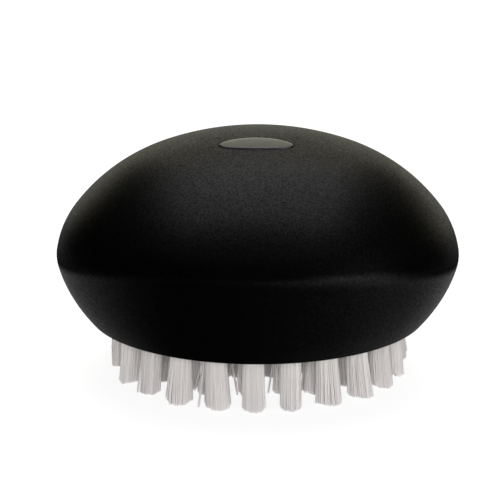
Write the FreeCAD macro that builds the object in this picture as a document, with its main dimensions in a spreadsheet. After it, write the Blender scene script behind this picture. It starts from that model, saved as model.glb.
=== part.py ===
"""Palm brush for scrubbing vegetables, modelled as the pieces that it comes apart into.

The brush stands on its bristle tips. The origin is the middle of the tip plane, +Z is up and -Y is the
front, where the badge is. A soft grip covers a stiff core, a block with tufts plugs the core from below,
and a flat wire anchor holds each tuft in its hole. Lengths are in millimetres, angles in degrees.
"""

import FreeCAD
import Part
import Sketcher
import os
import re

# Driving dimensions, each with the name that formulas use for it.
SIZES = {
    # Outline: a dome of three tangent arcs that meets a flared oval skirt in a soft arched crease.
    "body_radius": 41.2,
    "dome_top_radius": 60.0,
    "dome_shoulder_radius": 37.0,
    "dome_side_radius": 17.8,
    "dome_side_sweep": 37.5,
    "widest_height": 22.45,
    "crease_radius": 3.5,
    # Skirt: how far each level lies inside the body radius at the sides, and is flatter front to back.
    "rim_height": 11.15,
    "rim_tuck": 6.9,
    "rim_edge_radius": 0.8,
    "skirt_middle_tuck": 2.75,
    "skirt_middle_flattening": 0.78,
    "skirt_wide_tuck": 0.36,
    "skirt_wide_flattening": 1.92,
    "skirt_top_rise": 9.0,
    "skirt_top_flare": 0.55,
    "skirt_top_flattening": 1.25,
    # Walls of the soft grip and of the core, and the grip's lip that is turned in under the core.
    "grip_wall": 2.5,
    "lip_thickness": 1.3,
    "rim_land": 2.8,
    "core_wall": 2.0,
    "seat_ledge": 2.0,
    "rib_thickness": 1.8,
    "rib_gap": 0.3,
    # Block: a thick disc that plugs the core, with pegs that find their sockets in the core's bosses.
    "block_clearance": 0.1,
    "block_recess": 0.5,
    "block_floor": 2.0,
    "block_chamfer": 0.8,
    "peg_radius": 2.0,
    "peg_height": 5.0,
    "peg_clearance": 0.05,
    "peg_inset": 7.0,
    "boss_wall": 1.6,
    # Tufts: three rings round one in the middle. The two inside are turned from the front, and the two
    # outside lean outwards by so much at the tips.
    "hole_diameter": 4.3,
    "hole_depth": 5.0,
    "hole_margin": 1.05,
    "tuft_clearance": 0.05,
    "tuft_spread": 0.45,
    "outer_lean": 1.1,
    "middle_lean": 0.6,
    "middle_ring_share": 0.688,
    "inner_ring_share": 0.333,
    "outer_count": 24,
    "middle_count": 18,
    "inner_count": 9,
    "middle_turn": -2.0,
    "inner_turn": 16.0,
    # Anchors: flat wire that lies in the fold of each tuft and bites into both sides of the hole.
    "anchor_thickness": 0.45,
    "anchor_height": 1.6,
    "anchor_bite": 0.3,
    "fold_height": 0.9,
    # Badge: a bare oval inlay that follows the dome, with a fine groove round it.
    "badge_half_width": 7.3,
    "badge_half_depth": 2.9,
    "badge_forward": 9.0,
    "badge_thickness": 1.2,
    "badge_groove": 0.2,
    # How far every cutting shape runs past what it cuts.
    "overrun": 2.0,
}

# Places and sizes that follow from the driving dimensions.
RIM_RADIUS = "(body_radius - rim_tuck)"
MOUTH_RADIUS = f"({RIM_RADIUS} - rim_land)"
HOLLOW_RADIUS = f"({MOUTH_RADIUS} - seat_ledge)"
LIP_LEVEL = "(rim_height + lip_thickness)"
SKIRT_MIDDLE_LEVEL = "((rim_height + widest_height) / 2)"
SKIRT_TOP_LEVEL = "(widest_height + skirt_top_rise)"
BLOCK_RADIUS = f"({MOUTH_RADIUS} - block_clearance)"
BLOCK_FACE = "(rim_height + block_recess)"
HOLE_END = f"({BLOCK_FACE} + hole_depth)"
SEAT_LEVEL = f"({HOLE_END} + block_floor)"
PEG_RING = f"({HOLLOW_RADIUS} - peg_inset)"
OUTER_RING = f"({BLOCK_RADIUS} - hole_margin - hole_diameter / 2)"
MIDDLE_RING = f"({OUTER_RING} * middle_ring_share)"
INNER_RING = f"({OUTER_RING} * inner_ring_share)"
TUFT_ROOT_RADIUS = "(hole_diameter / 2 - tuft_clearance)"
ANCHOR_LENGTH = "(hole_diameter + 2 * anchor_bite)"
ANCHOR_LEVEL = f"({HOLE_END} - fold_height - anchor_height)"
CUT_REACH = "(body_radius + skirt_top_flare + 2 * overrun)"
SIDE_OUT = "(body_radius - dome_side_radius)"
SHOULDER_OUT = f"({SIDE_OUT} - (dome_shoulder_radius - dome_side_radius) * cos(dome_side_sweep))"
SHOULDER_DROP = "((dome_shoulder_radius - dome_side_radius) * sin(dome_side_sweep))"
DOME_LEAN = f"asin({SHOULDER_OUT} / (dome_top_radius - dome_shoulder_radius))"
TOP_DROP = f"({SHOULDER_DROP} + (dome_top_radius - dome_shoulder_radius) * cos({DOME_LEAN}))"
DOME_RISE = f"(dome_top_radius - {TOP_DROP})"
APEX = f"(widest_height + {DOME_RISE})"

# Front of the brush, as an angle from +X.
FRONT = "-90"
PEG_COUNT = 4

# Rings of tufts: name, radius, angle of the first tuft from +X, how many there are, and their lean.
TUFT_RINGS = (
    ("tuft_outer", OUTER_RING, FRONT, "outer_count", "outer_lean"),
    ("tuft_middle", MIDDLE_RING, f"({FRONT} + middle_turn)", "middle_count", "middle_lean"),
    ("tuft_inner", INNER_RING, f"({FRONT} + inner_turn)", "inner_count", "0"),
    ("tuft_centre", "0", FRONT, "1", "0"),
)

doc = FreeCAD.newDocument("palm_brush")
sheet = doc.addObject("Spreadsheet::Sheet", "sizes")
for row, (alias, size) in enumerate(SIZES.items(), start=1):
    sheet.set(f"A{row}", alias)
    sheet.set(f"B{row}", str(size))
    sheet.setAlias(f"B{row}", alias)
doc.recompute()


def on_sheet(formula):
    """Write a formula of size names as an expression that reads the sheet."""
    return re.sub(r"[a-z_]+", lambda word: f"sizes.{word[0]}" if word[0] in SIZES else word[0], formula)


def number(formula):
    """Work out a formula with the sheet's present sizes."""
    return float(sheet.evalExpression(on_sheet(formula)))


def bind(target, **formulas):
    """Bind properties to formulas; a double underscore stands for a dot in the property's name."""
    for name, formula in formulas.items():
        target.setExpression(name.replace("__", "."), on_sheet(formula))
    return target


def radians(formula):
    """Work out an angle's formula for the geometry calls, which take radians."""
    return FreeCAD.Units.Quantity(f"{number(formula)} deg").getValueAs("rad").Value


def vector(x=0.0, y=0.0, z=0.0):
    return FreeCAD.Vector(x, y, z)


def new_sketch(body, name, role="XY_Plane", level=None, turn=None):
    """Add a sketch on one of the body's own planes, raised to a level and turned about its normal."""
    sketch = body.newObject("Sketcher::SketchObject", name)
    plane = next(feature for feature in body.Origin.OriginFeatures if feature.Role == role)
    sketch.AttachmentSupport = [(plane, "")]
    sketch.MapMode = "FlatFace"
    if level is not None:
        bind(sketch, AttachmentOffset__Base__z=level)
    if turn is not None:
        bind(sketch, AttachmentOffset__Rotation__Angle=turn)
    return sketch


def drive(sketch, name, formula, *constraint):
    """Add a dimension to a sketch and bind it to a formula."""
    index = sketch.addConstraint(Sketcher.Constraint(*constraint, number(formula)))
    sketch.renameConstraint(index, name)
    bind(sketch, **{f"Constraints__{name}": formula})


def draw_circle(sketch, radius, out="0"):
    """Draw a circle whose centre lies on the sketch's X axis, a distance out from its origin."""
    circle = sketch.addGeometry(Part.Circle(vector(number(out)), vector(z=1), number(radius)))
    if out == "0":
        sketch.addConstraint(Sketcher.Constraint("Coincident", circle, 3, -1, 1))
    else:
        sketch.addConstraint(Sketcher.Constraint("PointOnObject", circle, 3, -1))
        drive(sketch, "out", out, "DistanceX", -1, 1, circle, 3)
    drive(sketch, "radius", radius, "Radius", circle)


def draw_oval(sketch, half_width, half_depth):
    """Draw an ellipse about the sketch's origin, wider along X than along Y."""
    oval = sketch.addGeometry(Part.Ellipse(vector(), number(half_width), number(half_depth)))
    sketch.exposeInternalGeometry(oval)
    long_axis = oval + 1
    short_axis = oval + 2
    sketch.addConstraint(Sketcher.Constraint("Coincident", oval, 3, -1, 1))
    sketch.addConstraint(Sketcher.Constraint("Horizontal", long_axis))
    drive(sketch, "width", f"2 * {half_width}", "Distance", long_axis)
    drive(sketch, "depth", f"2 * {half_depth}", "Distance", short_axis)


def draw_rectangle(sketch, width, height, middle_x="0", bottom="0"):
    """Draw an upright rectangle by its width, its height, the place of its middle and its lower edge."""
    left = number(middle_x) - number(width) / 2
    right = number(middle_x) + number(width) / 2
    low = number(bottom)
    high = low + number(height)
    corners = [vector(left, low), vector(right, low), vector(right, high), vector(left, high)]
    lines = [sketch.addGeometry(Part.LineSegment(corners[k], corners[(k + 1) % 4])) for k in range(4)]
    for k, line in enumerate(lines):
        sketch.addConstraint(Sketcher.Constraint("Coincident", line, 2, lines[(k + 1) % 4], 1))
        sketch.addConstraint(Sketcher.Constraint("Horizontal" if k % 2 == 0 else "Vertical", line))
    drive(sketch, "width", width, "DistanceX", lines[0], 1, lines[0], 2)
    drive(sketch, "height", height, "DistanceY", lines[1], 1, lines[1], 2)
    drive(sketch, "right", f"{middle_x} + {width} / 2", "DistanceX", -1, 1, lines[0], 2)
    drive(sketch, "bottom", bottom, "DistanceY", -1, 1, lines[0], 2)


def draw_dome(sketch, inset, outside):
    """Draw the dome's half profile, set in by a wall, closed round the outside or through the inside."""
    radius = f"(body_radius - {inset})"
    top_radius = f"(dome_top_radius - {inset})"
    shoulder_radius = f"(dome_shoulder_radius - {inset})"
    side_radius = f"(dome_side_radius - {inset})"
    side_top = f"(widest_height + {side_radius} * sin(dome_side_sweep))"
    low = "(rim_height - overrun)"
    high = f"({APEX} + overrun)"
    quarter = radians("90")
    sweep = radians("dome_side_sweep")
    crown_start = radians(f"90 deg - {DOME_LEAN}")
    top_centre = vector(0, number(f"{APEX} - dome_top_radius"))
    shoulder_centre = vector(number(SHOULDER_OUT), number(f"widest_height - {SHOULDER_DROP}"))
    side_centre = vector(number(SIDE_OUT), number("widest_height"))
    top_circle = Part.Circle(top_centre, vector(z=1), number(top_radius))
    shoulder_circle = Part.Circle(shoulder_centre, vector(z=1), number(shoulder_radius))
    side_circle = Part.Circle(side_centre, vector(z=1), number(side_radius))
    top = sketch.addGeometry(Part.ArcOfCircle(top_circle, crown_start, quarter))
    shoulder = sketch.addGeometry(Part.ArcOfCircle(shoulder_circle, sweep, crown_start))
    side = sketch.addGeometry(Part.ArcOfCircle(side_circle, 0, sweep))
    apex = vector(0, number(f"{APEX} - {inset}"))
    foot = vector(number(radius), number(low))
    edge = vector(number(radius), number("widest_height"))
    if outside:
        reach = number(CUT_REACH)
        corners = [vector(reach, number(low)), vector(reach, number(high)), vector(0, number(high))]
    else:
        corners = [vector(0, number(low))]
    points = [edge, foot, *corners, apex]
    lines = [sketch.addGeometry(Part.LineSegment(a, b)) for a, b in zip(points, points[1:])]
    wall = lines[0]
    spine = lines[-1]
    sketch.addConstraint(Sketcher.Constraint("Tangent", shoulder, 2, top, 1))
    sketch.addConstraint(Sketcher.Constraint("Tangent", side, 2, shoulder, 1))
    sketch.addConstraint(Sketcher.Constraint("Tangent", side, 1, wall, 1))
    sketch.addConstraint(Sketcher.Constraint("Coincident", top, 2, spine, 2))
    sketch.addConstraint(Sketcher.Constraint("PointOnObject", top, 3, -2))
    sketch.addConstraint(Sketcher.Constraint("PointOnObject", spine, 1, -2))
    sketch.addConstraint(Sketcher.Constraint("PointOnObject", spine, 2, -2))
    sketch.addConstraint(Sketcher.Constraint("Vertical", wall))
    for before, after in zip(lines, lines[1:]):
        sketch.addConstraint(Sketcher.Constraint("Coincident", before, 2, after, 1))
    for k, line in enumerate(lines[1:-1]):
        sketch.addConstraint(Sketcher.Constraint("Horizontal" if k % 2 == 0 else "Vertical", line))
    drive(sketch, "radius", radius, "DistanceX", -1, 1, wall, 1)
    drive(sketch, "widest", "widest_height", "DistanceY", -1, 1, wall, 1)
    drive(sketch, "low", low, "DistanceY", -1, 1, wall, 2)
    drive(sketch, "side_top", side_top, "DistanceY", -1, 1, side, 2)
    drive(sketch, "top_radius", top_radius, "Radius", top)
    drive(sketch, "shoulder_radius", shoulder_radius, "Radius", shoulder)
    drive(sketch, "side_radius", side_radius, "Radius", side)
    if outside:
        drive(sketch, "reach", CUT_REACH, "DistanceX", -1, 1, lines[1], 2)
        drive(sketch, "high", high, "DistanceY", -1, 1, lines[2], 2)


def pad(body, sketch, length):
    feature = body.newObject("PartDesign::Pad", f"{sketch.Name}_pad")
    feature.Profile = sketch
    return bind(feature, Length=length)


def pocket_up(body, sketch, depth):
    """Cut from a sketch upwards, into what stands over it."""
    before = solid_so_far(body).Volume
    feature = body.newObject("PartDesign::Pocket", f"{sketch.Name}_pocket")
    feature.Profile = sketch
    feature.Reversed = True
    bind(feature, Length=depth)
    doc.recompute()
    if not feature.Shape.Volume < before:
        raise RuntimeError(f"{feature.Name} cuts nothing")
    return feature


def solid_so_far(body):
    doc.recompute()
    return body.Tip.Shape


def groove(body, sketch):
    """Turn a profile once round the upright axis and take it away."""
    feature = body.newObject("PartDesign::Groove", f"{sketch.Name}_groove")
    feature.Profile = sketch
    feature.ReferenceAxis = (sketch, ["V_Axis"])
    feature.Angle = 360
    return feature


def trim_to_dome(body, inset):
    """Take away all that stands outside the dome, set in by a wall."""
    sketch = new_sketch(body, f"{body.Name}_dome", "XZ_Plane")
    draw_dome(sketch, inset, outside=True)
    return groove(body, sketch)


def fillet(body, base, edges, radius, name):
    names = [f"Edge{k}" for k, edge in enumerate(base.Shape.Edges, start=1) if edges(edge.BoundBox)]
    feature = body.newObject("PartDesign::Fillet", name)
    feature.Base = (base, names)
    return bind(feature, Radius=radius)


def new_body(name):
    body = doc.addObject("PartDesign::Body", name)
    body.Label = name
    return body


def body_form(name, inset):
    """Make the brush's outer form, set in by a wall: the skirt's loft, closed above by the dome."""
    body = new_body(name)
    levels = (
        ("middle", SKIRT_MIDDLE_LEVEL, "skirt_middle_tuck", "skirt_middle_flattening"),
        ("wide", "widest_height", "skirt_wide_tuck", "skirt_wide_flattening"),
        ("top", SKIRT_TOP_LEVEL, "(-skirt_top_flare)", "skirt_top_flattening"),
    )
    rim = new_sketch(body, f"{name}_rim", level="rim_height")
    draw_circle(rim, f"({RIM_RADIUS} - {inset})")
    sections = []
    for level_name, level, tuck, flattening in levels:
        section = new_sketch(body, f"{name}_{level_name}", level=level)
        half_width = f"(body_radius - {tuck} - {inset})"
        draw_oval(section, half_width, f"({half_width} - {flattening})")
        sections.append(section)
    skirt = body.newObject("PartDesign::AdditiveLoft", f"{name}_skirt")
    skirt.Profile = rim
    skirt.Sections = sections
    crown = new_sketch(body, f"{name}_crown", level=SKIRT_TOP_LEVEL)
    draw_circle(crown, "(body_radius + overrun)")
    pad(body, crown, f"{APEX} - {SKIRT_TOP_LEVEL} + overrun")
    trim_to_dome(body, inset)
    doc.recompute()
    return body


def grip_form():
    """Make the outer form with its soft crease and rounded rim."""
    body = body_form("grip_form", "0")
    across = number("body_radius")
    rise = number("rim_edge_radius")

    def on_crease(box):
        return box.YLength > across and box.ZLength > rise and box.ZMin > number(SKIRT_MIDDLE_LEVEL)

    def on_rim(box):
        return box.ZLength < rise and box.ZMax < number(LIP_LEVEL)

    crease = fillet(body, body.Tip, on_crease, "crease_radius", "soft_crease")
    doc.recompute()
    fillet(body, crease, on_rim, "rim_edge_radius", "soft_rim")
    doc.recompute()
    return body


def core_form():
    """Make the form of the core, which fills the grip down to the lip."""
    body = body_form("core_form", "grip_wall")
    sketch = new_sketch(body, "core_form_lip", level="rim_height")
    draw_circle(sketch, "(body_radius + overrun)")
    pocket_up(body, sketch, "lip_thickness")
    return body


def cylinder(name, radius, height, level, out="0", turn="0"):
    """Make an upright cylinder that stands on a level, out from the middle at an angle from +X."""
    solid = doc.addObject("Part::Cylinder", name)
    bind(solid, Radius=radius, Height=height, Placement__Base__z=level)
    if out != "0":
        bind(solid, Placement__Base__x=f"{out} * cos({turn})", Placement__Base__y=f"{out} * sin({turn})")
    return solid


def fuse(name, shapes):
    joined = doc.addObject("Part::MultiFuse", name)
    joined.Shapes = shapes
    return joined


def cut(name, base, tool):
    piece = doc.addObject("Part::Cut", name)
    piece.Base = base
    piece.Tool = tool
    piece.Label = name
    return piece


def badge_blank(name, growth, flush):
    """Make an oval plate that follows the dome: the badge itself, or the recess that it drops into."""
    body = new_body(name)
    sketch = new_sketch(body, f"{name}_oval", level="widest_height")
    bind(sketch, AttachmentOffset__Base__y="-badge_forward")
    draw_oval(sketch, f"(badge_half_width + {growth})", f"(badge_half_depth + {growth})")
    pad(body, sketch, f"{DOME_RISE} + overrun")
    if flush:
        trim_to_dome(body, "0")
    seat = new_sketch(body, f"{name}_seat", "XZ_Plane")
    draw_dome(seat, "badge_thickness", outside=False)
    groove(body, seat)
    return body


def grip_shell(outer, core):
    """Hollow the grip for the core, open its mouth for the block and sink the badge's recess."""
    mouth = cylinder("mouth", MOUTH_RADIUS, "lip_thickness + 2 * overrun", "rim_height - overrun")
    recess = badge_blank("badge_recess", "badge_groove", flush=False)
    return cut("grip_shell", outer, fuse("grip_hollow", [core, mouth, recess]))


def grip_core(core):
    """Hollow the core round two crossed ribs and the bosses, and bore the block's seat and the sockets."""
    hollow = new_body("core_hollow")
    floor = new_sketch(hollow, "core_hollow_floor", level=SEAT_LEVEL)
    draw_circle(floor, HOLLOW_RADIUS)
    pad(hollow, floor, f"{APEX} - {SEAT_LEVEL}")
    trim_to_dome(hollow, "(grip_wall + core_wall)")
    height = f"{APEX} - {SEAT_LEVEL}"
    stiffeners = []
    for name, length, width in (
        ("rib_across", f"2 * {HOLLOW_RADIUS}", "rib_thickness"),
        ("rib_along", "rib_thickness", f"2 * {HOLLOW_RADIUS}"),
    ):
        rib = doc.addObject("Part::Box", name)
        bind(rib, Length=length, Width=width, Height=height)
        bind(rib, Placement__Base__x=f"-{length} / 2", Placement__Base__y=f"-{width} / 2")
        bind(rib, Placement__Base__z=f"{SEAT_LEVEL} + rib_gap")
        stiffeners.append(rib)
    sockets = []
    for k in range(PEG_COUNT):
        turn = f"{k} * 360 / {PEG_COUNT}"
        boss_radius = "peg_radius + peg_clearance + boss_wall"
        stiffeners.append(cylinder(f"boss_{k + 1}", boss_radius, height, SEAT_LEVEL, PEG_RING, turn))
        socket_radius = "peg_radius + peg_clearance"
        socket_depth = "peg_height + rib_gap"
        sockets.append(cylinder(f"socket_{k + 1}", socket_radius, socket_depth, SEAT_LEVEL, PEG_RING, turn))
    room = cut("core_room", hollow, fuse("stiffeners", stiffeners))
    seat_depth = f"{SEAT_LEVEL} - {LIP_LEVEL} + overrun"
    seat = cylinder("block_seat", MOUTH_RADIUS, seat_depth, f"{LIP_LEVEL} - overrun")
    return cut("grip_core", core, fuse("core_voids", [room, seat, *sockets]))


def ring_pattern(body, features, sketch, count, name):
    """Repeat features evenly round the upright axis."""
    pattern = body.newObject("PartDesign::PolarPattern", name)
    pattern.Originals = features
    pattern.Axis = (sketch, ["N_Axis"])
    pattern.Angle = 360
    bind(pattern, Occurrences=count)
    body.Tip = pattern
    doc.recompute()


def bristle_block():
    """Make the block: a chamfered disc with pegs above and rings of slotted tuft holes below."""
    body = new_body("bristle_block")
    disc = new_sketch(body, "block_disc", level=BLOCK_FACE)
    draw_circle(disc, BLOCK_RADIUS)
    plain = pad(body, disc, "hole_depth + block_floor")
    doc.recompute()
    upper = number(HOLE_END)
    chamfer = body.newObject("PartDesign::Chamfer", "block_lead_in")
    edges = [k for k, edge in enumerate(plain.Shape.Edges, start=1) if edge.BoundBox.ZMin > upper]
    chamfer.Base = (plain, [f"Edge{k}" for k in edges])
    bind(chamfer, Size="block_chamfer")
    peg = new_sketch(body, "peg", level=SEAT_LEVEL)
    draw_circle(peg, "peg_radius", PEG_RING)
    ring_pattern(body, [pad(body, peg, "peg_height")], peg, str(PEG_COUNT), "pegs")
    for name, ring, turn, count, lean in TUFT_RINGS:
        hole = new_sketch(body, f"{name}_hole", level=BLOCK_FACE, turn=turn)
        draw_circle(hole, "hole_diameter / 2", ring)
        bore = pocket_up(body, hole, "hole_depth")
        slot = new_sketch(body, f"{name}_slot", level=BLOCK_FACE, turn=turn)
        draw_rectangle(slot, "anchor_thickness", ANCHOR_LENGTH, ring, f"(-{ANCHOR_LENGTH} / 2)")
        score = pocket_up(body, slot, "(hole_depth - fold_height)")
        if count != "1":
            ring_pattern(body, [bore, score], hole, count, f"{name}_holes")
    return body


def place(piece, ring, turn):
    """Set a piece out on its ring and turn it so that its own X points outwards."""
    bind(piece, Placement__Base__x=f"{ring} * cos({turn})", Placement__Base__y=f"{ring} * sin({turn})")
    piece.Placement.Rotation = FreeCAD.Rotation(vector(z=1), number(turn))
    bind(piece, Placement__Rotation__Angle=turn)


def tuft(name, ring, turn, lean):
    """Make one tuft: a root in its hole, spreading and leaning to a flat cut end, with its anchor's slot."""
    body = new_body(name)
    tip = new_sketch(body, f"{name}_tip")
    draw_circle(tip, f"({TUFT_ROOT_RADIUS} + tuft_spread)", lean)
    neck = new_sketch(body, f"{name}_neck", level=BLOCK_FACE)
    draw_circle(neck, TUFT_ROOT_RADIUS)
    brush_end = body.newObject("PartDesign::AdditiveLoft", f"{name}_spread")
    brush_end.Profile = tip
    brush_end.Sections = [neck]
    root = body.newObject("PartDesign::AdditiveCylinder", f"{name}_root")
    bind(root, Radius=TUFT_ROOT_RADIUS, Height="hole_depth", Placement__Base__z=BLOCK_FACE)
    slot = body.newObject("PartDesign::SubtractiveBox", f"{name}_slot")
    bind(slot, Length="anchor_thickness", Width="hole_diameter", Height="anchor_height")
    bind(slot, Placement__Base__x="-anchor_thickness / 2", Placement__Base__y="-hole_diameter / 2")
    bind(slot, Placement__Base__z=ANCHOR_LEVEL)
    place(body, ring, turn)
    return body


def anchor(name, ring, turn):
    """Make one anchor, centred in its tuft's slot with both ends in the wall of the hole."""
    across = f"({ring} - anchor_thickness / 2)"
    half = f"({ANCHOR_LENGTH} / 2)"
    wire = doc.addObject("Part::Box", name)
    bind(wire, Length="anchor_thickness", Width=ANCHOR_LENGTH, Height="anchor_height")
    place(wire, ring, turn)
    bind(wire, Placement__Base__x=f"{across} * cos({turn}) + {half} * sin({turn})")
    bind(wire, Placement__Base__y=f"{across} * sin({turn}) - {half} * cos({turn})")
    bind(wire, Placement__Base__z=ANCHOR_LEVEL)
    return wire


def tufts_and_anchors():
    """Fill every hole with its tuft and its anchor; the anchors together are one piece list entry."""
    tufts = []
    anchors = []
    for ring_name, ring, turn, count, lean in TUFT_RINGS:
        total = round(number(count))
        for k in range(total):
            name = f"{ring_name}_{k + 1:02d}" if total > 1 else ring_name
            angle = f"({turn} + {k} * 360 / {count})"
            tufts.append(tuft(name, ring, angle, lean))
            anchors.append(anchor(f"{name}_anchor", ring, angle))
    group = doc.addObject("Part::Compound", "tuft_anchors")
    group.Label = "tuft_anchors"
    group.Links = anchors
    return [*tufts, group]


outer_form = grip_form()
inner_form = core_form()
pieces = [grip_shell(outer_form, inner_form), grip_core(inner_form), bristle_block()]
pieces.append(badge_blank("badge_inlay", "0", flush=True))
pieces.extend(tufts_and_anchors())
doc.recompute()

for item in doc.Objects:
    if "Invalid" in item.State or "Error" in item.State:
        raise RuntimeError(f"{item.Label} is {item.State}")
for piece in pieces:
    if piece.Shape.isNull() or not piece.Shape.isValid():
        raise RuntimeError(f"{piece.Label} has no valid shape")

os.makedirs("parts", exist_ok=True)
for piece in pieces:
    piece.Shape.exportStep(os.path.join("parts", f"{piece.Label}.step"))
    print(f"{piece.Label}: {len(piece.Shape.Solids)} solid(s), {piece.Shape.Volume:.1f} mm3")
print(f"{len(pieces)} pieces, {number(APEX):.2f} mm high")
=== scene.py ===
# %% [markdown]
# # A vegetable brush with a soft dome grip
#
# This lesson dresses a brush that sits in the palm of the hand: a black rubber dome over a
# flared skirt, and under it a round field of white nylon tufts. The CAD parts come first.
# They fix every size, so each piece below is measured from them and stays where they are.

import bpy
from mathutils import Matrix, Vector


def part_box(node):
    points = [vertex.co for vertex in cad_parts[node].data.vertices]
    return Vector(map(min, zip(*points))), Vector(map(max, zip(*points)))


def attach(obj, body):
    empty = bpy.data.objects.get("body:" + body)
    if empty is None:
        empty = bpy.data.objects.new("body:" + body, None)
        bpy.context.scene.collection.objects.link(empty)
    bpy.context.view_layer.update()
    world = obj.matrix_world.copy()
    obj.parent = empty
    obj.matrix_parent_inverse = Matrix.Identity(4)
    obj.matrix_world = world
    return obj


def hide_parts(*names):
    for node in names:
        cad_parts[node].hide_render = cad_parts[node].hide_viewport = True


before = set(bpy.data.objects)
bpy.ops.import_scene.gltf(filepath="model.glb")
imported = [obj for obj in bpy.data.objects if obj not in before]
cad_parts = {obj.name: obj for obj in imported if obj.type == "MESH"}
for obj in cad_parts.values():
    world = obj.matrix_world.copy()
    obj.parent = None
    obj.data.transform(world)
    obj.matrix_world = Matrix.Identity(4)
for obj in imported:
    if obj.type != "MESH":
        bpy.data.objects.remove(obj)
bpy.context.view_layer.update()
print("CAD parts:", len(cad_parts))

# %% [markdown]
# ## From a bmesh to a piece
#
# A bmesh is Blender's editable mesh: operators grow it, and at the end it is written into a
# mesh that an object can show. Every piece of the brush goes through the same last steps, so
# they are one function. It turns the faces outwards, shades them smooth except at turns of more
# than 0.7 radians, which is 40 degrees, gives the piece its finish, hangs it under the root and
# hides the CAD part that it stands for.

# %% Turn a bmesh into a piece
import bmesh
import bpy

MM = 0.001
SHARP_TURN = 0.7


def make_piece(shape, name, finish, node):
    """Write a finished bmesh into an object that stands for one CAD part."""
    bmesh.ops.recalc_face_normals(shape, faces=shape.faces)
    mesh = bpy.data.meshes.new(name)
    shape.to_mesh(mesh)
    shape.free()
    mesh.shade_smooth()
    mesh.set_sharp_from_angle(angle=SHARP_TURN)
    mesh.materials.append(finish)
    piece = bpy.data.objects.new(name, mesh)
    bpy.context.scene.collection.objects.link(piece)
    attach(piece, "root")
    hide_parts(node)
    return piece


# %% [markdown]
# ## Writing a finish as sums
#
# A material is a tree of nodes, and wiring it by hand hides the idea. This class holds one
# output of the tree and lets it take part in ordinary Python sums: each operator adds a Math
# node. Any other node comes from one method, which sets the node's own settings first and
# then the values or links of its sockets.

# %% Let a socket take part in sums
class Shade:
    """One output of a material's nodes, ready for sums."""

    def __init__(self, tree, socket=None):
        self.tree = tree
        self.socket = socket

    def node(self, kind, settings, inputs, output=0):
        """Add a node: its settings first, then its sockets' values or links."""
        made = self.tree.nodes.new(kind)
        for setting, value in settings.items():
            setattr(made, setting, value)
        for name, value in inputs.items():
            if isinstance(value, Shade):
                self.tree.links.new(value.socket, made.inputs[name])
            else:
                made.inputs[name].default_value = value
        return Shade(self.tree, made.outputs[output] if made.outputs else None)

    def sums(self, operation, first, second):
        return self.node("ShaderNodeMath", {"operation": operation}, {0: first, 1: second})

    def __add__(self, other):
        return self.sums("ADD", self, other)

    def __radd__(self, other):
        return self.sums("ADD", other, self)

    def __sub__(self, other):
        return self.sums("SUBTRACT", self, other)

    def __rsub__(self, other):
        return self.sums("SUBTRACT", other, self)

    def __mul__(self, other):
        return self.sums("MULTIPLY", self, other)

    def __rmul__(self, other):
        return self.sums("MULTIPLY", other, self)


# %% [markdown]
# A few more steps are shared by the finishes: starting a material, reading a speckle of noise
# on the piece's own Object coordinates, turning it into a factor, mixing two colours, adding a
# fine relief, and ending in a Principled shader. A Mix node has one set of sockets for numbers
# and another for colours, so the colour ones are named here by their places.

# %% Start, speckle, mix and end a finish
MIX_SHARE, MIX_FIRST, MIX_SECOND, MIX_RESULT = 0, 6, 7, 2
RELIEF_STRENGTH = 0.5


def start_finish(name):
    finish = bpy.data.materials.new(name)
    finish.use_nodes = True
    finish.node_tree.nodes.clear()
    return finish, Shade(finish.node_tree)


def speckle(start, size, detail=2.0):
    """Noise from 0 to 1, with grains of about this size in metres."""
    place = start.node("ShaderNodeTexCoord", {}, {}, "Object")
    noise = {"Vector": place, "Scale": 1.0 / size, "Detail": detail}
    return start.node("ShaderNodeTexNoise", {}, noise)


def about_one(noise, swing):
    """Noise as a factor that is 1 on average and swings this much in all."""
    return 1 - swing / 2 + swing * noise


def mix_outputs(start, share, first, second):
    colours = {MIX_SHARE: share, MIX_FIRST: first, MIX_SECOND: second}
    return start.node("ShaderNodeMix", {"data_type": "RGBA"}, colours, MIX_RESULT)


def mix_colours(start, share, first, second):
    return mix_outputs(start, share, (*first, 1.0), (*second, 1.0))


def relief(start, height, depth):
    """Fine relief that the light catches, this deep in metres."""
    bump = {"Height": height, "Distance": depth, "Strength": RELIEF_STRENGTH}
    return start.node("ShaderNodeBump", {}, bump)


def end_finish(start, sockets):
    skin = start.node("ShaderNodeBsdfPrincipled", {}, sockets)
    start.node("ShaderNodeOutputMaterial", {}, {"Surface": skin})


# %% [markdown]
# ## The rubber finish
#
# The grip is moulded in soft-touch rubber. It is nearly black, has no mirror-like shine, and
# its mould was lightly blasted, so the skin carries a fine grain that breaks up the highlight.
# All its gloss is in a thin coat, and the coat's weight is carried in an attribute of the mesh.
# That weight paints highlight and shade into the gloss. A fine noise breaks it into grain, and a
# broad one makes it a little uneven.

# %% Mix the rubber
GRAIN = 0.40 * MM
GRAIN_DEPTH = 0.02 * MM
GRAIN_SWING = 2.4
HANDLING = 14 * MM
HANDLING_SWING = 0.4
RUBBER_DARK = (0.0002, 0.0002, 0.0002)
RUBBER_PALE = (0.0008, 0.0008, 0.0007)


def soft_rubber():
    finish, start = start_finish("soft_rubber")
    grain = speckle(start, GRAIN)
    # This attribute is the coat's weight, with highlight and shade painted into it.
    painted_gloss = start.node("ShaderNodeAttribute", {"attribute_name": "painted_gloss"}, {}, "Fac")
    uneven_gloss = painted_gloss * about_one(speckle(start, HANDLING, detail=3.0), HANDLING_SWING)
    end_finish(start, {
        "Base Color": mix_colours(start, grain, RUBBER_DARK, RUBBER_PALE),
        "Roughness": 0.68 - 0.10 * grain,
        "Specular IOR Level": 0.0,
        "Coat Weight": uneven_gloss * about_one(grain, GRAIN_SWING),
        "Coat Roughness": 0.38,
        "Normal": relief(start, grain, GRAIN_DEPTH),
    })
    return finish


rubber = soft_rubber()
print("finish:", rubber.name)

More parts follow.
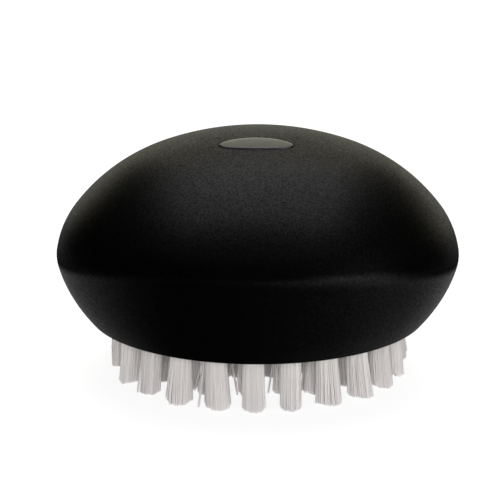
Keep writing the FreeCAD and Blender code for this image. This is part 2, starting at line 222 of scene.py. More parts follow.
# %% [markdown]
# ## The grip's form
#
# The grip is two simple forms that meet. From above it is a dome turned from three arcs that
# run smoothly into each other: a wide one for the crown, a rounder one for the shoulder and a
# tight one for the side. From below it is a flared skirt whose plan is a circle at the rim and
# a slight oval higher up. Four ovals, each given by its height, half-width and half-depth, say
# how it flares. Whichever form is nearer to the axis is the skin, and where they cross there is
# a soft crease. Since the skirt is oval, the crease lies low at the sides and arches up at the
# front and back.

# %% Describe the dome and the skirt
import math

GRIP_RADIUS = 41.2 * MM
CROWN_ARC = 60.0 * MM
SHOULDER_ARC = 37.0 * MM
SIDE_ARC = 17.8 * MM
SIDE_SWEEP = math.radians(37.5)
WIDEST_HEIGHT = 22.45 * MM
RIM_HEIGHT = 11.15 * MM
SIDE_OUT = GRIP_RADIUS - SIDE_ARC
SHOULDER_OUT = SIDE_OUT - (SHOULDER_ARC - SIDE_ARC) * math.cos(SIDE_SWEEP)
SHOULDER_LEVEL = WIDEST_HEIGHT - (SHOULDER_ARC - SIDE_ARC) * math.sin(SIDE_SWEEP)
CROWN_LEAN = math.asin(SHOULDER_OUT / (CROWN_ARC - SHOULDER_ARC))
CROWN_LEVEL = SHOULDER_LEVEL - (CROWN_ARC - SHOULDER_ARC) * math.cos(CROWN_LEAN)
CROWN_EDGE = CROWN_ARC * math.sin(CROWN_LEAN)
MEETING_RADIUS = SIDE_OUT + SIDE_ARC * math.cos(SIDE_SWEEP)
MEETING_HEIGHT = WIDEST_HEIGHT + SIDE_ARC * math.sin(SIDE_SWEEP)
SKIRT_OVALS = (
    (11.150 * MM, 34.30 * MM, 34.30 * MM),
    (16.800 * MM, 38.45 * MM, 37.67 * MM),
    (22.450 * MM, 40.84 * MM, 38.92 * MM),
    (31.450 * MM, 41.75 * MM, 40.50 * MM),
)


def crown_height(radius):
    """The height of the crown or the shoulder at this distance from the axis."""
    if radius < CROWN_EDGE:
        return CROWN_LEVEL + math.sqrt(CROWN_ARC ** 2 - radius ** 2)
    return SHOULDER_LEVEL + math.sqrt(SHOULDER_ARC ** 2 - (radius - SHOULDER_OUT) ** 2)


def dome_radius(height):
    """The distance of the shoulder or the side from the axis at this height."""
    if height > MEETING_HEIGHT:
        return SHOULDER_OUT + math.sqrt(SHOULDER_ARC ** 2 - (height - SHOULDER_LEVEL) ** 2)
    above = max(0.0, height - WIDEST_HEIGHT)
    return SIDE_OUT + math.sqrt(SIDE_ARC ** 2 - above ** 2)


def through_ovals(height, column):
    """The smooth curve through the four ovals' half-widths or half-depths."""
    total = 0.0
    for station in SKIRT_OVALS:
        share = station[column]
        for other in SKIRT_OVALS:
            if other is not station:
                share *= (height - other[0]) / (station[0] - other[0])
        total += share
    return total


def skirt_radius(turn, height):
    across = math.cos(turn) / through_ovals(height, 1)
    along = math.sin(turn) / through_ovals(height, 2)
    return 1 / math.hypot(across, along)


print("crown top in mm:", round(crown_height(0) / MM, 2))

# %% [markdown]
# A mould maker rounds the crease, so the skin doesn't switch sharply from one form to the
# other. Where the two radii are close, a smooth minimum takes a little off both.

# %% Round the crease
CREASE_BLEND = 0.45 * MM


def closeness(turn, height):
    """1 on the crease, falling to 0 where only one form counts."""
    apart = abs(dome_radius(height) - skirt_radius(turn, height))
    return max(0.0, 1 - apart / CREASE_BLEND)


def grip_radius(turn, height):
    nearer = min(dome_radius(height), skirt_radius(turn, height))
    return nearer - closeness(turn, height) ** 2 * CREASE_BLEND / 4


print("front radius at the widest height in mm:", round(grip_radius(-math.pi / 2, WIDEST_HEIGHT) / MM, 2))

# %% [markdown]
# ## Building the grip ring by ring
#
# A dome spun about its axis would have a pole at the top and no clean edge for the oval badge.
# So the mesh starts at the badge: one oval loop of edges, which is extruded outwards ring
# after ring. Each ring is set on the crown a little rounder and more central than the last,
# until the loop is the full circle where the side starts. The rings then go down over the
# side, the crease and the skirt, turn in under the rim and go back up inside, so the grip
# is a closed wall of rubber.

# %% Start at the badge oval and grow over the crown
RING_CORNERS = 192
CROWN_RINGS = 40
BADGE_HALF_WIDTH = 7.3 * MM
BADGE_HALF_DEPTH = 2.9 * MM
BADGE_FORWARD = 9.0 * MM
BADGE_GROOVE = 0.2 * MM


def badge_point(turn, grow):
    """A point on the badge's oval, seen from above, grown by a margin."""
    return (
        (BADGE_HALF_WIDTH + grow) * math.cos(turn),
        (BADGE_HALF_DEPTH + grow) * math.sin(turn) - BADGE_FORWARD,
    )


def start_ring(shape):
    """A loop of edges whose corners remember their turn about the middle."""
    turns = shape.verts.layers.float.new("turn")
    made = bmesh.ops.create_circle(shape, segments=RING_CORNERS, radius=1.0)
    for corner in made["verts"]:
        corner[turns] = math.atan2(corner.co.y, corner.co.x)
    return list(shape.edges), turns


def grow_ring(shape, ring, turns, place):
    """Extrude a ring of edges and set each new corner where place says."""
    made = bmesh.ops.extrude_edge_only(shape, edges=ring)["geom"]
    corners = {part for part in made if isinstance(part, bmesh.types.BMVert)}
    for corner in corners:
        corner.co = place(corner[turns])
    edges = [part for part in made if isinstance(part, bmesh.types.BMEdge)]
    return [edge for edge in edges if corners.issuperset(edge.verts)]


def crown_point(turn, share):
    """From the badge's edge at share 0 to the shoulder's foot at share 1."""
    x, y = badge_point(turn, BADGE_GROOVE)
    x += share * (MEETING_RADIUS * math.cos(turn) - x)
    y += share * (MEETING_RADIUS * math.sin(turn) - y)
    return x, y, crown_height(math.hypot(x, y))


grip = bmesh.new()
badge_ring, grip_turns = start_ring(grip)
for corner in grip.verts:
    corner.co = crown_point(corner[grip_turns], 0.0)
ring = badge_ring
for step in range(1, CROWN_RINGS + 1):
    ring = grow_ring(grip, ring, grip_turns, lambda turn: crown_point(turn, step / CROWN_RINGS))
print("faces on the crown:", len(grip.faces))

# %% [markdown]
# The rings lie close together near the crease, because its soft turn is what the light shows
# most, and further apart on the plainer skirt below it.

# %% Go down over the side, the crease and the skirt
CREASE_TOP = 33.0 * MM
CREASE_FOOT = 20.5 * MM
SIDE_RINGS = 2
CREASE_RINGS = 36
SKIRT_RINGS = 16


def heights_between(top, foot, count):
    return [top + (foot - top) * step / count for step in range(1, count + 1)]


def skin_point(turn, height):
    radius = grip_radius(turn, height)
    return radius * math.cos(turn), radius * math.sin(turn), height


skin_heights = heights_between(MEETING_HEIGHT, CREASE_TOP, SIDE_RINGS)
skin_heights += heights_between(CREASE_TOP, CREASE_FOOT, CREASE_RINGS)
skin_heights += heights_between(CREASE_FOOT, RIM_HEIGHT, SKIRT_RINGS)
for height in skin_heights:
    ring = grow_ring(grip, ring, grip_turns, lambda turn: skin_point(turn, height))
rim_ring = ring
print("faces down to the rim:", len(grip.faces))

# %% [markdown]
# Under the rim there is a flat land, then the mouth that the bristle block fills. The rubber
# is 2.5 mm thick, and its inner skin is a plain offset, because the core hides it.

# %% Turn in under the rim and close the wall
MOUTH_RADIUS = 31.5 * MM
LIP_TOP = 12.45 * MM
RUBBER_WALL = 2.5 * MM
INNER_HEIGHTS = (13.5, 16.0, 19.0, 23.0, 27.0, 31.0, 35.0)
INNER_ROOF_RADII = (30.0, 24.0, 17.0, 10.0, 4.0)


def round_point(turn, radius, height):
    return radius * math.cos(turn), radius * math.sin(turn), height


ring = grow_ring(grip, ring, grip_turns, lambda turn: round_point(turn, MOUTH_RADIUS, RIM_HEIGHT))
mouth_ring = ring
ring = grow_ring(grip, ring, grip_turns, lambda turn: round_point(turn, MOUTH_RADIUS, LIP_TOP))
for height in INNER_HEIGHTS:
    level = height * MM
    ring = grow_ring(
        grip, ring, grip_turns,
        lambda turn: round_point(turn, grip_radius(turn, level) - RUBBER_WALL, level))
for radius in INNER_ROOF_RADII:
    inner = radius * MM
    ring = grow_ring(
        grip, ring, grip_turns,
        lambda turn: round_point(turn, inner, crown_height(inner) - RUBBER_WALL))
bmesh.ops.edgeloop_fill(grip, edges=ring)
print("faces with the inner skin:", len(grip.faces))

# %% [markdown]
# The badge sits in an oval recess, with a shallow groove left around it. Extruding the first
# loop again, this time inwards, makes the groove, then the recess's wall and floor. A bevel
# then rounds the groove's edge, the rim and the mouth, because no mould leaves a sharp edge in
# soft rubber.

# %% Sink the badge recess and round the edges
RECESS_DEPTH = 1.4 * MM
GROOVE_DEPTH = 0.4 * MM
BADGE_SLIP = 0.02 * MM
FLOOR_INSET = 1.5 * MM
RECESS_ROUND = 0.12 * MM
RIM_ROUND = 0.42 * MM
MOUTH_ROUND = 0.25 * MM


def recess_point(turn, grow, depth):
    x, y = badge_point(turn, grow)
    return x, y, crown_height(math.hypot(x, y)) - depth


recess_rings = (
    (BADGE_GROOVE, GROOVE_DEPTH), (BADGE_SLIP, GROOVE_DEPTH),
    (BADGE_SLIP, RECESS_DEPTH), (-FLOOR_INSET, RECESS_DEPTH),
)
ring = badge_ring
for grow, depth in recess_rings:
    ring = grow_ring(grip, ring, grip_turns, lambda turn: recess_point(turn, grow, depth))
bmesh.ops.edgeloop_fill(grip, edges=ring)
for edges, width in ((rim_ring, RIM_ROUND), (mouth_ring, MOUTH_ROUND), (badge_ring, RECESS_ROUND)):
    bmesh.ops.bevel(
        grip, geom=edges, offset=width, affect="EDGES", segments=4, profile=0.5, material=-1)
print("faces with rounded edges:", len(grip.faces))

# %% [markdown]
# Each corner of the mesh gets its painted gloss before the bmesh becomes a piece. It paints light
# and shade into the coat: the dome has its full gloss at the top and less and less towards the
# crease, as painted shade. Under the crease the skirt is nearly dull, as painted shade, and only
# its sides get a painted sheen. To the right of the front the skirt gets a little more, and the
# crease shines there in a narrow painted highlight line.

# %% Paint light and shade into the coat's gloss and finish the grip
# These weights are painted light and shade: painted shade low on the dome and on the front of the skirt,
# a painted sheen at the skirt's sides and a painted highlight along the crease right of the front.
DOME_GLOSS = 0.20
LOW_SHARE = 0.12
DOME_SHADE_SPAN = 3.0 * MM
SKIRT_SHADED_GLOSS = 0.008
SIDE_PAINTED_SHEEN = 0.27
SIDE_SHEEN_FROM = 0.35
SIDE_SHEEN_SPAN = 0.6
SKIRT_BLEND = 0.5 * MM
RIDGE_PAINTED_HIGHLIGHT = 0.25
RIGHT_PAINTED_HIGHLIGHT = 0.06
HIGHLIGHT_TURN = math.radians(-56)
HIGHLIGHT_WIDTH = math.radians(24)
FAST_FADE = 2
RIDGE_WIDTH = 0.5 * MM


def limited(share):
    return min(1.0, max(0.0, share))


def eased(share):
    """From 0 to 1 with a soft start and end."""
    share = limited(share)
    return share * share * (3 - 2 * share)


def in_painted_highlight(turn):
    """1 in the middle of the painted highlight's place, fading slowly to the front and fast to the side.
    """
    away = (turn - HIGHLIGHT_TURN) / HIGHLIGHT_WIDTH
    return math.exp(-(FAST_FADE * away if away > 0 else away) ** 2)


def skirt_gloss(turn):
    side_sheen = limited((abs(math.cos(turn)) - SIDE_SHEEN_FROM) / SIDE_SHEEN_SPAN)
    return SKIRT_SHADED_GLOSS + SIDE_PAINTED_SHEEN * side_sheen ** 2 + RIGHT_PAINTED_HIGHLIGHT * in_painted_highlight(turn)


def ridge_highlight(turn, ahead):
    """A painted highlight: a line of extra gloss along the crease, right of the front."""
    return RIDGE_PAINTED_HIGHLIGHT * in_painted_highlight(turn) * math.exp(-(ahead / RIDGE_WIDTH) ** 2)


def painted_gloss(corner):
    """The coat's weight, with light and shade painted in: the dome's above the crease, fading into the
    skirt's under it.
    """
    if corner.co.z > CREASE_TOP:
        return DOME_GLOSS
    turn = math.atan2(corner.co.y, corner.co.x)
    ahead = skirt_radius(turn, corner.co.z) - dome_radius(corner.co.z)
    dome_fade = LOW_SHARE + (1 - LOW_SHARE) * limited(ahead / DOME_SHADE_SPAN)
    skirt_share = eased(-ahead / SKIRT_BLEND)
    coat_gloss = (1 - skirt_share) * dome_fade * DOME_GLOSS + skirt_share * skirt_gloss(turn)
    return coat_gloss + ridge_highlight(turn, ahead)


painted_gloss_layer = grip.verts.layers.float.new("painted_gloss")
for corner in grip.verts:
    corner[painted_gloss_layer] = painted_gloss(corner)
grip_piece = make_piece(grip, "soft_grip", rubber, "grip_shell")
print("grip corners:", len(grip_piece.data.vertices))

# %% [markdown]
# ## The badge
#
# The badge is a smooth oval of hard plastic set in the recess, standing a hair proud of the
# rubber with rounded edges. It is left bare. Its even gloss is what sets it off from the grip,
# with only a faint haze. Each ring of its top is a smaller oval, given by its share of the full
# size and its lift above the crown in mm. So the rounded edge is narrow along the front and
# back, and wider at the ends.

# %% Mix the polished plastic and make the badge
HAZE = 1.5 * MM
PLASTIC_DARK = (0.012, 0.012, 0.012)
PLASTIC_PALE = (0.020, 0.020, 0.020)


def polished_plastic():
    finish, start = start_finish("polished_plastic")
    haze = speckle(start, HAZE, detail=3.0)
    end_finish(start, {
        "Base Color": mix_colours(start, haze, PLASTIC_DARK, PLASTIC_PALE),
        "Roughness": 0.5,
        "Specular IOR Level": 0.0,
        "Coat Weight": 0.44 + 0.08 * haze,
        "Coat Roughness": 0.22,
    })
    return finish


BADGE_FOOT = 1.2 * MM
BADGE_STEPS = (
    (1.00, 0.06), (0.988, 0.13), (0.965, 0.18), (0.93, 0.21),
    (0.75, 0.24), (0.50, 0.26), (0.25, 0.27), (0.06, 0.275),
)


def badge_top(turn, share, lift):
    """A point on an oval of this share of the badge's size, lifted off the crown."""
    x = share * BADGE_HALF_WIDTH * math.cos(turn)
    y = share * BADGE_HALF_DEPTH * math.sin(turn) - BADGE_FORWARD
    return x, y, crown_height(math.hypot(x, y)) + lift


badge = bmesh.new()
ring, badge_turns = start_ring(badge)
for corner in badge.verts:
    corner.co = recess_point(corner[badge_turns], 0.0, BADGE_FOOT)
bmesh.ops.edgeloop_fill(badge, edges=ring)
for share, lift in BADGE_STEPS:
    ring = grow_ring(badge, ring, badge_turns, lambda turn: badge_top(turn, share, lift * MM))
bmesh.ops.edgeloop_fill(badge, edges=ring)
badge_piece = make_piece(badge, "badge_lens", polished_plastic(), "badge_inlay")
print("badge corners:", len(badge_piece.data.vertices))

# %% [markdown]
# ## The nylon finish
#
# Each tuft is a bundle of drawn nylon strands, folded once in its hole. No two strands catch
# the light alike, so the mesh gives each one a tone of its own, and says how far along the
# strand a point lies. Near the block the strands are a shade darker and warmer, which is painted
# shade from the grip above them, and at the cut ends they are cooler and a little frosted. Nylon
# lets light through, so a good share of the finish passes on the light from behind, and the gaps
# between the tufts stay pale. That share has one even colour, and the strands' own tones are in
# their skin.

# %% Mix the nylon
LIGHT_THROUGH = 0.66
DRAWN = 0.6 * MM
# Towards the block the strands are painted darker and warmer, as painted shade under the grip.
SHADED_ROOT_DARK, SHADED_ROOT_PALE = (0.70, 0.685, 0.63), (0.97, 0.955, 0.92)
COOL_DARK, COOL_PALE = (0.74, 0.72, 0.725), (0.99, 0.97, 0.975)
INSIDE = (0.92, 0.905, 0.90, 1.0)


def white_nylon():
    finish, start = start_finish("white_nylon")
    tone = start.node("ShaderNodeAttribute", {"attribute_name": "tone"}, {}, "Fac")
    along = start.node("ShaderNodeAttribute", {"attribute_name": "along"}, {}, "Fac")
    drawn = speckle(start, DRAWN)
    shaded_root = mix_colours(start, tone, SHADED_ROOT_DARK, SHADED_ROOT_PALE)
    cool = mix_colours(start, tone, COOL_DARK, COOL_PALE)
    skin = start.node("ShaderNodeBsdfPrincipled", {}, {
        "Base Color": mix_outputs(start, along, shaded_root, cool),
        "Roughness": 0.36 + 0.12 * drawn + 0.10 * along,
        "Specular IOR Level": 0.35,
    })
    through = start.node("ShaderNodeBsdfTranslucent", {}, {"Color": INSIDE})
    both = start.node("ShaderNodeMixShader", {}, {0: LIGHT_THROUGH, 1: skin, 2: through})
    start.node("ShaderNodeOutputMaterial", {}, {"Surface": both})
    return finish


nylon = white_nylon()
print("finish:", nylon.name)

# %% [markdown]
# ## One strand, then a bundle
#
# A strand is a thin tube with five sides, cut across three times so that it can bend. There are
# thousands of them, so it has only a few dozen faces. One straight strand is made with
# operators, and copies of it are kept as a pattern for a whole bundle, in which each corner
# knows its strand and how far along it lies.

# %% Make the pattern bundle
STRAND_SIDES = 5
STRAND_CUTS = 3
STRANDS = 260


def pattern_strand():
    strand = bmesh.new()
    along = strand.verts.layers.float.new("along")
    bmesh.ops.create_cone(
        strand, cap_ends=True, segments=STRAND_SIDES, radius1=1.0, radius2=1.0, depth=1.0)
    uprights = [edge for edge in strand.edges if edge.verts[0].co.z != edge.verts[1].co.z]
    bmesh.ops.subdivide_edges(strand, edges=uprights, cuts=STRAND_CUTS)
    for corner in strand.verts:
        corner[along] = 0.5 - corner.co.z
    pattern = bpy.data.meshes.new("pattern_strand")
    strand.to_mesh(pattern)
    strand.free()
    return pattern


def pattern_bundle(strand):
    bundle = bmesh.new()
    owner = bundle.verts.layers.int.new("strand")
    for count in range(STRANDS):
        first = len(bundle.verts)
        bundle.from_mesh(strand)
        bundle.verts.ensure_lookup_table()
        for corner in bundle.verts[first:]:
            corner[owner] = count
    pattern = bpy.data.meshes.new("pattern_bundle")
    bundle.to_mesh(pattern)
    bundle.free()
    return pattern


strand_pattern = pattern_strand()
bundle_pattern = pattern_bundle(strand_pattern)
print("faces on a strand and a bundle:", len(strand_pattern.polygons), len(bundle_pattern.polygons))

# %% [markdown]
# ## Where each strand goes
#
# The CAD tufts say where a tuft leaves the block and where it ends: the outer rings lean
# outwards, as they do on a brush that has been pressed down often. The strands leave the hole
# packed side by side, as seeds are in a sunflower head, and spread on the way down. The ends
# are trimmed by a cutter, but strands settle in clumps, so the tips are uneven. The tufts in
# front each have a spread, a push across, a push back and a lift of their own, in mm, because
# the photograph shows them that way. The others get usual ones by chance. The middle ring splays
# a little more than its plain CAD form.

# %% Shape the tufts that show
import random

FRONT_TUFTS = {
    "tuft_outer_19": (-0.10, 0.9, 0.0, 0.30),
    "tuft_outer_20": (0.10, 0.6, 2.2, 0.45), "tuft_outer_21": (-0.10, 0.0, 0.0, 0.40),
    "tuft_outer_22": (0.00, 0.0, 0.0, 0.20), "tuft_outer_23": (0.50, 0.2, 0.0, 0.05),
    "tuft_outer_24": (0.55, 0.8, 0.0, 0.10), "tuft_outer_01": (0.25, 0.2, 0.0, 0.00),
    "tuft_outer_02": (0.05, -0.3, 0.0, 0.05), "tuft_outer_03": (0.55, 0.0, 0.0, 0.05),
    "tuft_outer_04": (0.45, 0.2, 0.0, 0.00), "tuft_outer_05": (0.20, 0.1, 0.0, 0.05),
    "tuft_outer_06": (-0.10, -0.2, 0.0, 0.10), "tuft_outer_07": (-0.10, -0.3, 1.0, 0.60),
    "tuft_middle_16": (0.50, 0.7, -2.3, 0.10), "tuft_middle_17": (0.50, 0.8, -1.6, 0.10),
    "tuft_middle_18": (0.60, -1.0, 0.1, 0.10), "tuft_middle_01": (0.50, 0.0, 0.6, 0.10),
    "tuft_middle_02": (0.60, -0.3, 0.4, 0.10), "tuft_middle_03": (0.60, -1.1, -1.9, 0.10),
    "tuft_middle_04": (0.60, -0.5, -2.6, 0.10),
}
USUAL_SPREAD = (0.4, 0.9)
USUAL_PUSH = 0.2
USUAL_LIFT = 0.1
MIDDLE_SPLAY = 1.2 * MM
LEVEL_SLACK = 0.01 * MM


def middle_at(node, level):
    """The middle of a CAD part's corners at this height."""
    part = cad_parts[node]
    corners = [part.matrix_world @ corner.co for corner in part.data.vertices]
    across = [corner.x for corner in corners if abs(corner.z - level) < LEVEL_SLACK]
    along = [corner.y for corner in corners if abs(corner.z - level) < LEVEL_SLACK]
    return (min(across) + max(across)) / 2, (min(along) + max(along)) / 2


def away_from(middle, distance, turn):
    """The point at this distance from a middle, seen from above."""
    return middle[0] + distance * math.cos(turn), middle[1] + distance * math.sin(turn)


def tuft_form(node):
    """The root, the middle of the tips, the way out, the spread and the lift of one tuft."""
    low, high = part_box(node)
    root = middle_at(node, high.z)
    tip = middle_at(node, low.z)
    outwards = math.atan2(root[1], root[0])
    if "middle" in node:
        tip = away_from(tip, MIDDLE_SPLAY, outwards)
    usual = (
        random.uniform(*USUAL_SPREAD), random.gauss(0, USUAL_PUSH),
        random.gauss(0, USUAL_PUSH), random.uniform(0, USUAL_LIFT),
    )
    spread, across, back, lift = FRONT_TUFTS.get(node, usual)
    return root, (tip[0] + across * MM, tip[1] + back * MM), outwards, spread * MM, lift


print("tufts with a form of their own:", len(FRONT_TUFTS))

# %% [markdown]
# Now each strand of a tuft gets a root, a tip and a tone. Most strands stray a little from their
# place at the tip and a few stray more. The sides of a tuft are trimmed a little shorter than
# its middle. In four places the photograph shows a pair of strands that stands away from its
# tuft, and those are laid one by one: the turn of the root in degrees, then the tip's place in mm.

# %% Lay out the strands of one tuft
ROOT_RADIUS = 1.95 * MM
SUNFLOWER = math.pi * (3 - math.sqrt(5))
CLUMPS = 9
CLUMP_RISE = 0.45
FEW = 0.08
FEW_STRAY = 0.28
MOST_STRAY = 0.09
SWING = 0.06
CUT_RISE = (0.0, 0.4, 0.1)
SIDE_TRIM = 0.45
STRAY_PAIR = (-0.08, 0.08)
STRAY_RISE = 0.1 * MM
STRAY_TONE = 0.2
STRAYS = {
    "tuft_outer_22": (178, -23.26, -19.67), "tuft_outer_24": (180, -10.65, -27.66),
    "tuft_middle_18": (20, -3.35, -20.52), "tuft_middle_02": (150, 2.73, -19.24),
}


def stray_strand(node, root, beside):
    turn, tip_x, tip_y = STRAYS[node]
    start = away_from(root, ROOT_RADIUS, math.radians(turn))
    return start, ((tip_x + beside) * MM, tip_y * MM, STRAY_RISE), STRAY_TONE


def lay_out(node):
    """A root, a tip and a tone for each strand of the tuft that stands where this CAD part is."""
    random.seed(node)
    root, tip, outwards, spread, lift = tuft_form(node)
    clumps = [random.uniform(0.0, CLUMP_RISE) for clump in range(CLUMPS)]
    strands = []
    for count in range(STRANDS):
        reach = math.sqrt((count + 0.5) / STRANDS)
        turn = count * SUNFLOWER
        start = away_from(root, ROOT_RADIUS * reach, turn)
        stray = FEW_STRAY if random.random() < FEW else MOST_STRAY
        out = (ROOT_RADIUS + spread) * reach + random.gauss(0, stray) * MM
        swing = turn + random.gauss(0, SWING)
        clump = clumps[int(turn / (2 * math.pi) * CLUMPS) % CLUMPS]
        side = reach * math.sin(turn - outwards)
        rise = lift + clump + random.triangular(*CUT_RISE) + SIDE_TRIM * side ** 2
        end = (*away_from(tip, out, swing), rise * MM)
        strands.append((start, end, random.random()))
    if node in STRAYS:
        strands[-2:] = [stray_strand(node, root, beside) for beside in STRAY_PAIR]
    return strands


print("tufts with strands laid by hand:", len(STRAYS))

# %% [markdown]
# Each tuft is one copy of the bundle. Inside its hole a strand is straight, and from there it
# bends gently towards its tip.

# %% Bend a bundle into each tuft
STRAND_RADIUS = 0.14 * MM
ROOT_GAP = 0.2 * MM
BEND_START = 0.27
BEND = 1.15


def fill_tuft(node):
    strands = lay_out(node)
    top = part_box(node)[1].z - ROOT_GAP
    tuft = bmesh.new()
    tone = tuft.verts.layers.float.new("tone")
    tuft.from_mesh(bundle_pattern)
    along = tuft.verts.layers.float["along"]
    owner = tuft.verts.layers.int["strand"]
    for corner in tuft.verts:
        root, tip, corner[tone] = strands[corner[owner]]
        share = corner[along]
        bend = max(0.0, (share - BEND_START) / (1 - BEND_START)) ** BEND
        corner.co = (
            root[0] + (tip[0] - root[0]) * bend + corner.co.x * STRAND_RADIUS,
            root[1] + (tip[1] - root[1]) * bend + corner.co.y * STRAND_RADIUS,
            top + (tip[2] - top) * share,
        )
    return tuft


tuft_nodes = sorted(
    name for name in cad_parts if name.startswith("tuft_") and name != "tuft_anchors")
for node in tuft_nodes:
    make_piece(fill_tuft(node), node.replace("tuft", "strands"), nylon, node)
bpy.data.meshes.remove(strand_pattern)
bpy.data.meshes.remove(bundle_pattern)
print("tufts:", len(tuft_nodes), "strands in each:", STRANDS)

# %% [markdown]
# ## The parts that keep their CAD shape
#
# The block that holds the tufts, the core inside the rubber and the wire anchors already have
# the right shape, so they only get a finish: satin moulded plastic for the first two, with the
# fine texture of a spark-eroded mould, and drawn steel for the anchors.

# %% Mix the moulded plastic and the wire
MOULD_TEXTURE = 0.35 * MM
TEXTURE_DEPTH = 0.015 * MM
FLOW = 9 * MM
WIRE_MARKS = 0.2 * MM
WIRE_DARK = (0.52, 0.51, 0.49)
WIRE_PALE = (0.68, 0.67, 0.64)


def moulded_plastic(name, dark, pale):
    finish, start = start_finish(name)
    texture = speckle(start, MOULD_TEXTURE)
    flow = speckle(start, FLOW)
    end_finish(start, {
        "Base Color": mix_colours(start, 0.6 * flow + 0.4 * texture, dark, pale),
        "Roughness": 0.42 + 0.16 * texture,
        "Normal": relief(start, texture, TEXTURE_DEPTH),
    })
    return finish


def flat_wire():
    finish, start = start_finish("flat_wire")
    drawn = speckle(start, WIRE_MARKS, detail=3.0)
    end_finish(start, {
        "Base Color": mix_colours(start, drawn, WIRE_DARK, WIRE_PALE),
        "Roughness": 0.28 + 0.15 * drawn,
        "Metallic": 1.0,
    })
    return finish


CAD_FINISHES = {
    "bristle_block": moulded_plastic("satin_block", (0.020, 0.020, 0.020), (0.034, 0.034, 0.034)),
    "grip_core": moulded_plastic("moulded_core", (0.035, 0.035, 0.035), (0.055, 0.055, 0.055)),
    "tuft_anchors": flat_wire(),
}
for node, finish in CAD_FINISHES.items():
    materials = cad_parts[node].data.materials
    materials.clear()
    materials.append(finish)
print("CAD parts with a finish:", sorted(CAD_FINISHES))

# %% [markdown]
# ## The floor
#
# The brush stands on a sheet of white paper. Paper never looks quite white under a soft light,
# so it glows a little, but only to rays from the camera and to those that reflect or pass
# through something. The brush's shadow stays, and no light is added to the brush.

# %% Lay the paper
PAPER_HALF = 4.0
PAPER_FIBRE = 6 * MM
PAPER_DARK = (0.83, 0.83, 0.83)
PAPER_PALE = (0.85, 0.85, 0.85)
PAPER_FAINT = (0.25, 0.25, 0.25, 1.0)
PAPER_GLOW = 0.85


def white_paper():
    finish, start = start_finish("white_paper")
    colour = mix_colours(start, speckle(start, PAPER_FIBRE), PAPER_DARK, PAPER_PALE)
    plain = start.node("ShaderNodeBsdfDiffuse", {}, {"Color": colour})
    faint = start.node("ShaderNodeBsdfDiffuse", {}, {"Color": PAPER_FAINT})
    glow = start.node("ShaderNodeEmission", {}, {"Strength": PAPER_GLOW})
    both = start.node("ShaderNodeAddShader", {}, {0: faint, 1: glow})
    seen = start.node("ShaderNodeLightPath", {}, {}, "Is Camera Ray")
    seen = seen + start.node("ShaderNodeLightPath", {}, {}, "Is Glossy Ray")
    seen = seen + start.node("ShaderNodeLightPath", {}, {}, "Is Transmission Ray")
    paper = start.node("ShaderNodeMixShader", {}, {0: seen, 1: plain, 2: both})
    start.node("ShaderNodeOutputMaterial", {}, {"Surface": paper})
    return finish


sheet = bmesh.new()
bmesh.ops.create_grid(sheet, x_segments=1, y_segments=1, size=PAPER_HALF)
floor_mesh = bpy.data.meshes.new("paper_floor")
sheet.to_mesh(floor_mesh)
sheet.free()
floor_mesh.materials.append(white_paper())
floor = bpy.data.objects.new("paper_floor", floor_mesh)
bpy.context.scene.collection.objects.link(floor)
print("floor half-width in m:", PAPER_HALF)

# %% [markdown]
# ## The light
#
# A large softbox hangs over the brush and makes the broad pale patch on the crown. Behind it
# stands a warm white wall, wide below and narrower above, which draws the thin pale line along
# the top and the edges. A low soft card at the right lights the skirt and the line along the
# crease. A small lamp near the camera fills the tufts, and the gloss doesn't see it. Sizes and
# places are in metres, and brightness is how bright each box looks, where 1 is plain white.

# %% Hang the softboxes
from mathutils import Vector

AIM = (0, 0, 20 * MM)
PLAIN_WHITE = (1, 1, 1)
WARM_WHITE = (1.0, 0.97, 0.78)
WORLD_STRENGTH = 0.04


def softbox(name, place, width, depth, brightness, aim=AIM, colour=PLAIN_WHITE):
    lamp = bpy.data.lights.new(name, "AREA")
    lamp.shape = "RECTANGLE"
    lamp.size = width
    lamp.size_y = depth
    lamp.color = colour
    lamp.energy = brightness * math.pi * width * depth
    hung = bpy.data.objects.new(name, lamp)
    hung.location = place
    hung.rotation_euler = (Vector(aim) - Vector(place)).to_track_quat("-Z", "Y").to_euler()
    hung.visible_camera = False
    bpy.context.scene.collection.objects.link(hung)
    return hung


softbox("overhead_box", place=(0, 0.315, 0.75), aim=(0, 0.315, 0), width=0.82, depth=0.85, brightness=3.1)
softbox(
    "back_low", place=(0.09, 1.0, 0.17), aim=(0.09, 0, 0.02), width=1.6, depth=0.34,
    brightness=2.1, colour=WARM_WHITE)
softbox(
    "back_high", place=(0, 1.0, 0.60), width=0.85, depth=0.52, brightness=1.6, colour=WARM_WHITE)
softbox("right_card", place=(0.655, -0.46, 0.2), width=0.6, depth=0.45, brightness=2.0)
fill = softbox("front_fill", place=(0.035, -1.0, 0.32), width=0.4, depth=0.3, brightness=24.0)
fill.visible_glossy = False

studio = bpy.data.worlds.new("studio")
studio.use_nodes = True
sky = studio.node_tree.nodes["Background"].inputs
sky["Color"].default_value = (*PLAIN_WHITE, 1)
sky["Strength"].default_value = WORLD_STRENGTH
bpy.context.scene.world = studio
bpy.context.scene.view_settings.view_transform = "Standard"
print("lamps:", len(bpy.data.lights))

# %% [markdown]
# Two black cards stand left and right of the brush, outside the picture. A photographer calls
# them flags. Only the gloss sees them, as the dark patches at both sides of the dome that make
# its round form plain. They take no light from the floor or the tufts. The right one is shorter
# in front, so that it doesn't hide the card behind it from the skirt.

# %% Stand the black cards
from mathutils import Matrix

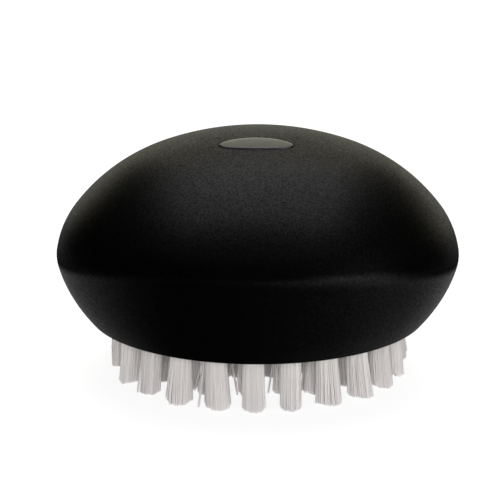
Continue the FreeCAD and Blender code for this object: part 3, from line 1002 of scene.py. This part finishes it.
CARD_AWAY = 0.22
CARD_HEIGHT = 0.30
FELT_BLACK = (0.004, 0.004, 0.004, 1.0)


def black_card(name, x, front, back, felt):
    length = back - front
    middle = Matrix.Translation((x, front + length / 2, CARD_HEIGHT / 2))
    stand = middle @ Matrix.Rotation(math.pi / 2, 4, "Y")
    sheet = bmesh.new()
    bmesh.ops.create_grid(
        sheet, x_segments=1, y_segments=1, size=0.5,
        matrix=stand @ Matrix.Diagonal((CARD_HEIGHT, length, 1, 1)))
    mesh = bpy.data.meshes.new(name)
    sheet.to_mesh(mesh)
    sheet.free()
    mesh.materials.append(felt)
    card = bpy.data.objects.new(name, mesh)
    card.visible_camera = False
    card.visible_diffuse = False
    card.visible_shadow = False
    bpy.context.scene.collection.objects.link(card)


black_felt, start = start_finish("black_felt")
end_finish(start, {"Base Color": FELT_BLACK, "Roughness": 1.0, "Specular IOR Level": 0.0})
black_card("left_flag", x=-CARD_AWAY, front=-0.29, back=0.25, felt=black_felt)
black_card("right_flag", x=CARD_AWAY, front=-0.06, back=0.20, felt=black_felt)
print("black cards at mm:", -CARD_AWAY / MM, CARD_AWAY / MM)

# %% [markdown]
# ## The camera
#
# The camera's place was found by fitting the grip's outline to the photograph: a little above
# the brush, with a long lens, a slight step to the left that puts the brush where the picture
# has it, and a small turn about the upright axis, because the brush stood a little askew.

# %% Set the camera
LENS = 138.5
SENSOR_WIDTH = 36.0
STEP_LEFT = 1.57 * MM
STEP_BACK = 380.0 * MM
EYE_HEIGHT = 130.25 * MM
TILT_DOWN = math.radians(15.589)
ASKEW = math.radians(2.0)

eye = bpy.data.cameras.new("photo_camera")
eye.lens = LENS
eye.sensor_width = SENSOR_WIDTH
camera = bpy.data.objects.new("photo_camera", eye)
camera.location = Matrix.Rotation(ASKEW, 3, "Z") @ Vector((-STEP_LEFT, -STEP_BACK, EYE_HEIGHT))
camera.rotation_euler = (math.pi / 2 - TILT_DOWN, 0, ASKEW)
bpy.context.scene.collection.objects.link(camera)
bpy.context.scene.camera = camera
print("camera distance in mm:", round(camera.location.length / MM))
